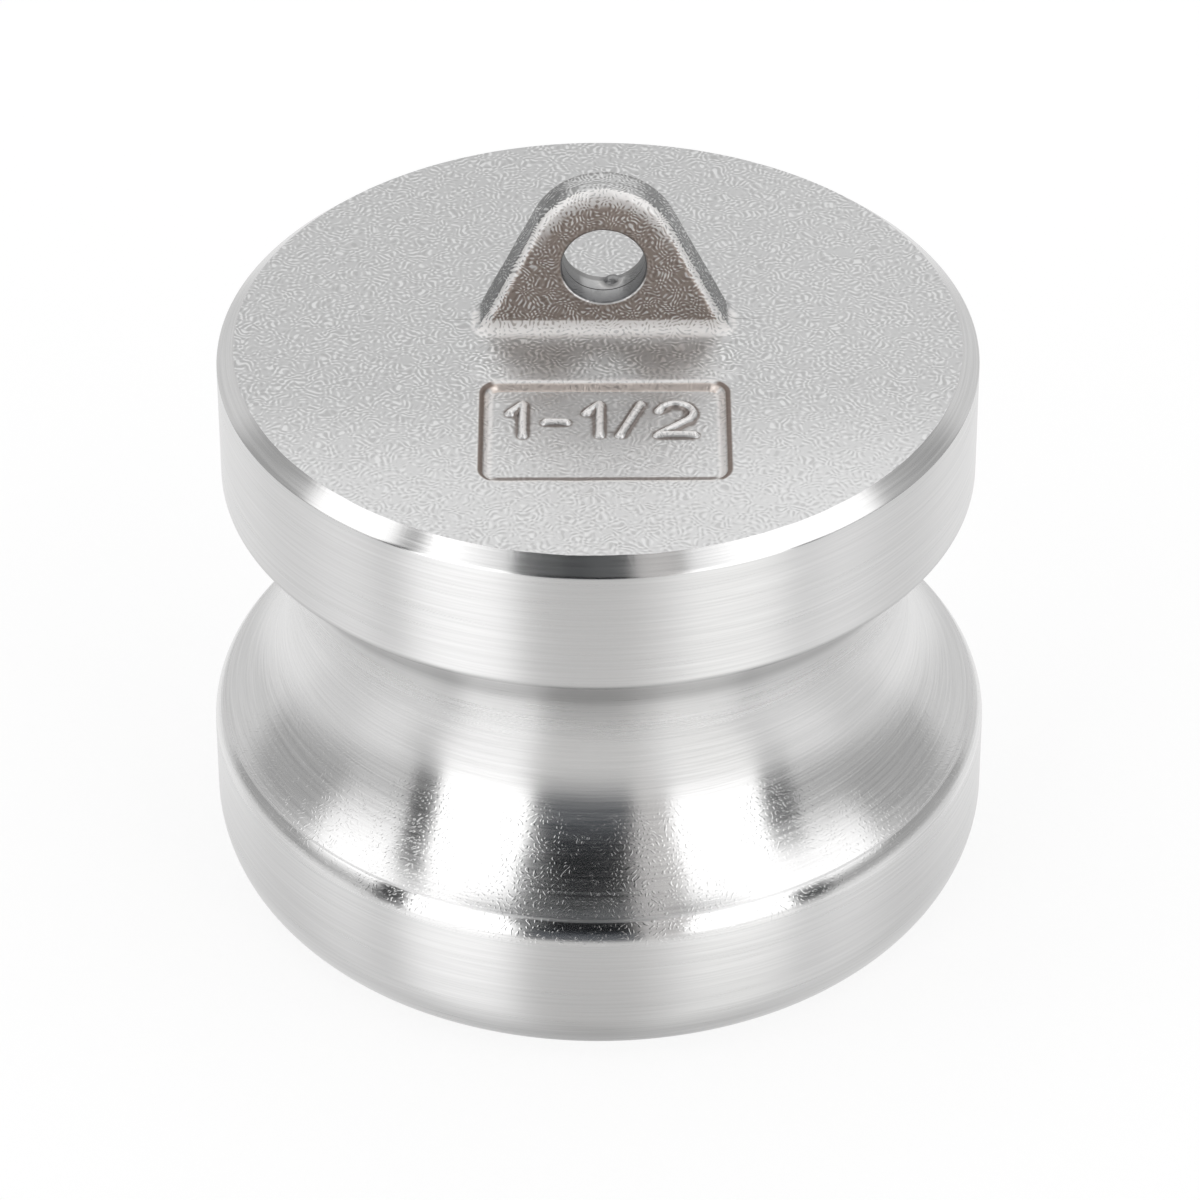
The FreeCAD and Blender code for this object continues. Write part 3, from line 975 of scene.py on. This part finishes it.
def grainColour(tree, at, stroke, flank):  # pale skin, painted brighter towards the front, towards the right and in a strip of painted light, with lighter crests and darker flanks of the ridges
    c, shade, paintedLightStrip = castFinish, castFinish["shade"], castFinish["paintedLightStrip"]
    before = ramp(tree, at.fromMiddle, *shade["sides"])
    # a strip of painted light between the lug's shade and the recess
    inPaintedLightStrip = product(tree, window(tree, at.y, *paintedLightStrip["y"]), before)
    share = product(
        tree,
        ramp(tree, at.y, *c["frontPaintedLightReach"], 1.0, c["frontPaintedLight"]),
        ramp(tree, at.x, *c["rightPaintedLightReach"], 1.0, c["rightPaintedLight"]),
        ramp(tree, inPaintedLightStrip, 0.0, 1.0, 1.0, paintedLightStrip["share"]),
    )
    pale = addNode(tree, "ShaderNodeVectorMath", {"Scale": share}, {0: c["colour"]}, operation="SCALE").outputs[0]
    # painted shade: the grain is painted stronger in the lug's shade
    inShade = product(tree, window(tree, at.y, *shade["y"]), before, rest(tree, at.onLug))
    strokes = calc(tree, "ADD", c["strokeShare"], product(tree, inShade, shade["stroke"]))
    flanks = calc(tree, "ADD", ramp(tree, at.onLug, 0.0, 1.0, *c["flankShare"]), product(tree, inShade, shade["flank"]))
    colour = tinted(tree, pale, product(tree, stroke, strokes), c["stroke"])
    return tinted(tree, colour, product(tree, flank, flanks), c["flank"])


def lugColour(tree, at, stroke, flank, colour):  # painted warm reflection on the forward-facing front, painted shade on the sideward-facing sides
    c, front, side = castFinish, castFinish["lugFront"], castFinish["lugSide"]
    paintedWarmReflection = tinted(tree, c["paintedWarmReflection"], product(tree, stroke, front["stroke"]), c["warmStroke"])
    paintedWarmReflection = tinted(tree, paintedWarmReflection, product(tree, flank, front["flank"]), c["warmFlank"])
    # painted warm reflection where the lug faces forward
    colour = tinted(tree, colour, product(tree, ramp(tree, at.forward, *front["forward"]), at.onLug), paintedWarmReflection)
    # painted shade where the lug's sides face sideways
    dark = product(
        tree,
        ramp(tree, at.sideways, *side["sideways"]),
        ramp(tree, at.rightward, *side["right"]),
        at.onLug,
        rest(tree, product(tree, stroke, side["stroke"])),
    )
    return tinted(tree, colour, dark, c["side"])


def recessMasks(tree, at):  # painted shade in the corners and along the front, painted shade on the side walls with a painted highlight at their foot, a painted highlight on the ridge over a painted warm reflection on the back wall
    c, r = castFinish, castFinish["recess"]
    fromRecess = calc(tree, "ABSOLUTE", minus(tree, at.x, r["x"]))
    fromCentre = calc(tree, "ABSOLUTE", minus(tree, at.y, r["y"]))
    across = minus(tree, fromRecess, r["halfWidth"] - r["corner"])
    along = minus(tree, fromCentre, r["halfLength"] - r["corner"])
    outside = distance(tree, largest(tree, across, 0.0), largest(tree, along, 0.0))
    inside = calc(tree, "MINIMUM", largest(tree, across, along), 0.0)
    beyond = minus(tree, calc(tree, "ADD", outside, inside), r["corner"])  # negative inside the recess
    toWall = calc(tree, "ABSOLUTE", beyond)
    sideward = minus(tree, across, along)
    atSide = ramp(tree, sideward, -0.3, 0.3)
    start, full, end, fading = c["backRidge"]
    underFace = ramp(tree, at.height, end, fading)
    # painted shade in the recess's inner corners and along the floor behind its front wall
    corners = product(tree, ramp(tree, at.edge, -0.15, -0.8), at.inRecess, ramp(tree, toWall, 0.7, 1.0))
    frontLine = product(
        tree,
        ramp(tree, at.y, *c["frontLine"]["y"]),
        ramp(tree, fromRecess, *c["frontLine"]["ends"]),
        at.inRecess,
    )
    # painted shade on the recess's side walls
    paintedSideWallShade = product(
        tree,
        window(tree, beyond, *c["paintedSideWallShade"]),
        ramp(tree, sideward, -0.9, -0.3),
        underFace,
    )
    # painted highlight at the side walls' foot and on the ridge over the back wall
    wallFoot = product(tree, window(tree, beyond, *c["wallFoot"]), atSide)
    ridge = product(
        tree,
        ramp(tree, toWall, 0.5, 0.4),
        ramp(tree, at.forward, 0.0, 0.1),
        ramp(tree, at.height, start, full),
        underFace,
    )
    # painted reflection of the lug's warm front on the recess's back wall
    paintedBackWallReflection = product(
        tree,
        ramp(tree, at.forward, 0.1, 0.3),
        ramp(tree, toWall, 0.8, 0.5),
        at.inRecess,
        rest(tree, atSide),
    )
    return {
        "paintedRecessShade": product(tree, largest(tree, corners, frontLine), 0.75),
        "paintedSideWallShade": product(tree, paintedSideWallShade, 0.9),
        "paintedBackWallReflection": product(tree, paintedBackWallReflection, 0.7),
        "wearAndPaintedHighlight": largest(tree, ridge, product(tree, wallFoot, 0.8)),
    }


def filletMask(tree, at):  # painted highlight: the bright foot along the lug's front
    return product(
        tree,
        ramp(tree, at.forward, 0.12, 0.25),
        window(tree, at.height, *castFinish["fillet"]),
        ramp(tree, at.y, -2.0, -1.5),
    )


def wearAndPaintedHighlightMask(tree, at, stroke, flank, *others):  # wear and painted highlight on the edges of the face, and a painted highlight on the lug's ragged rim, broad over its crown
    crown = castFinish["crown"]
    edges = product(tree, ramp(tree, at.edge, 0.15, 0.7), rest(tree, at.onLug))
    ragged = product(tree, minus(tree, stroke, flank), 0.12)
    rim = product(
        tree,
        ramp(
            tree,
            calc(tree, "ADD", at.forward, ragged),
            calc(tree, "ADD", 0.08, product(tree, at.sideways, 0.25)),
            calc(tree, "ADD", 0.25, product(tree, at.sideways, 0.3)),
        ),
        ramp(tree, minus(tree, at.forward, ragged), 1.0, 0.85),
        ramp(tree, at.height, 0.6, 0.9),
        ramp(tree, at.fromBore, 0.4, 0.6),
    )
    fromCrown = distance(tree, at.fromMiddle, minus(tree, at.height, crown["height"]))
    onCrown = product(
        tree,
        ramp(tree, calc(tree, "ADD", fromCrown, product(tree, ragged, 3.0)), *crown["reach"]),
        ramp(tree, at.height, *crown["over"]),
        ramp(tree, at.forward, *crown["forward"]),
        crown["share"],
    )
    foot = product(tree, ramp(tree, at.edge, -0.15, -0.6), rest(tree, at.inRecess))
    behind = ramp(tree, at.y, 3.0, 3.6, 1.0, 0.2)
    grain = rest(tree, product(tree, flank, 0.5))
    return product(tree, largest(tree, edges, rim, onCrown, foot, *others), behind, grain)


def boreColour(tree, at, colour):  # painted shade in the bore, lighter towards its back, with painted shade on its upper rim and a painted highlight on its lower rim
    c = castFinish
    start, full, end, fading = c["boreRim"]
    rim = product(tree, ramp(tree, at.fromBore, end, fading), ramp(tree, at.y, 1.6, 1.3), at.onLug)
    upper = ramp(tree, at.overBore, *c["boreUpper"])
    colour = tinted(tree, colour, product(tree, rim, upper, 0.6), c["warmFlank"])
    colour = tinted(tree, colour, product(tree, at.inBore, ramp(tree, at.y, *c["boreBack"])), c["bore"])
    lower = product(tree, rim, ramp(tree, at.fromBore, start, full), rest(tree, upper))
    colour = tinted(tree, colour, lower, c["wearAndPaintedHighlight"])
    # painted shade round the nub
    nub = {1: nubCentre() / mm}
    fromNub = addNode(tree, "ShaderNodeVectorMath", {0: at.place}, nub, operation="DISTANCE").outputs["Value"]
    size = casting["nubSize"] / mm
    colour = tinted(tree, colour, product(tree, ramp(tree, fromNub, size + 0.35, size), 0.5), c["bore"])
    fromPlane = calc(tree, "ABSOLUTE", minus(tree, at.y, c["partingPlane"]))
    onFace = product(tree, ramp(tree, at.fromMiddle, *c["parting"]["sides"]), c["parting"]["share"])
    seam = product(tree, ramp(tree, fromPlane, *c["parting"]["line"]), largest(tree, at.inBore, onFace))
    return tinted(tree, colour, seam, c["gap"])


def makeCastFinish(wormTree):
    c = castFinish
    material, tree, steel = newMaterial("castSteel")
    at = castPlaces(tree)
    worms = useGroup(tree, wormTree, {"Ripples": ramp(tree, at.onLug, 0.0, 1.0, *c["ripples"])})
    shown = rest(tree, product(tree, at.onLug, at.inBore))  # the bore is smooth
    stroke = product(tree, worms.outputs["Stroke"], shown)
    flank = product(tree, worms.outputs["Flank"], shown)
    recess = recessMasks(tree, at)
    fillet = filletMask(tree, at)
    wearAndPaintedHighlight = wearAndPaintedHighlightMask(tree, at, stroke, flank, fillet, recess["wearAndPaintedHighlight"])
    # painted shade along the lug's back edge, where the land turns away
    paintedBackEdgeShade = product(
        tree,
        ramp(tree, at.y, c["paintedBackEdgeShade"], c["paintedBackEdgeShade"] + 0.15),
        ramp(tree, at.height, 0.6, 0.9),
        rest(tree, product(tree, stroke, 0.7)),
        0.75,
    )
    colour = lugColour(tree, at, stroke, flank, grainColour(tree, at, stroke, flank))
    # painted shade, wear with painted highlight, painted reflection and painted shade, laid over the colour in turn
    for mask, tint in (
        (recess["paintedRecessShade"], c["paintedRecessShade"]),
        (wearAndPaintedHighlight, c["wearAndPaintedHighlight"]),
        (recess["paintedBackWallReflection"], c["paintedBackWallReflection"]),
        (recess["paintedSideWallShade"], c["paintedRecessWallShade"]),
        (paintedBackEdgeShade, c["flank"]),
    ):
        colour = tinted(tree, colour, mask, tint)
    tree.links.new(boreColour(tree, at, colour), steel.inputs["Base Color"])

    rough = c["roughness"]
    for mask, change in ((stroke, -0.1), (wearAndPaintedHighlight, 0.15), (fillet, 0.2)):
        rough = calc(tree, "ADD", rough, product(tree, mask, change))
    tree.links.new(rough, steel.inputs["Roughness"])
    grain = addNode(tree, "ShaderNodeTexNoise", {"Vector": at.place}, {"Scale": 5.0, "Detail": 2.0})
    ridges = product(tree, worms.outputs["Height"], ramp(tree, at.onLug, 0.0, 1.0, 1.0, c["lugDepthShare"]))
    normal = bumps(tree, [(ridges, c["wormDepth"]), (grain.outputs["Fac"], c["grainDepth"])])
    tree.links.new(normal, steel.inputs["Normal"])
    return material


# The plug

def makePlug():
    wormTree = wormGroup()
    turnedSteel = makeTurnedFinish(linesGroup(), wormTree)
    castSteel = makeCastFinish(wormTree)
    body = makeTurnedBody(turnedSteel)
    top = makeCastTop(frame["nodes"]["dust_plug"], castSteel)
    plugPiece = joinForms(body, top)
    plugPiece.name = "plugCasting"
    plugPiece.data.name = "plugCasting"
    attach(plugPiece, "root")
    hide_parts("dust_plug")


makeCamera()
makeStudio()
makeFloor()
makePlug()
bpy.context.scene.view_settings.view_transform = "Standard"

print("done")
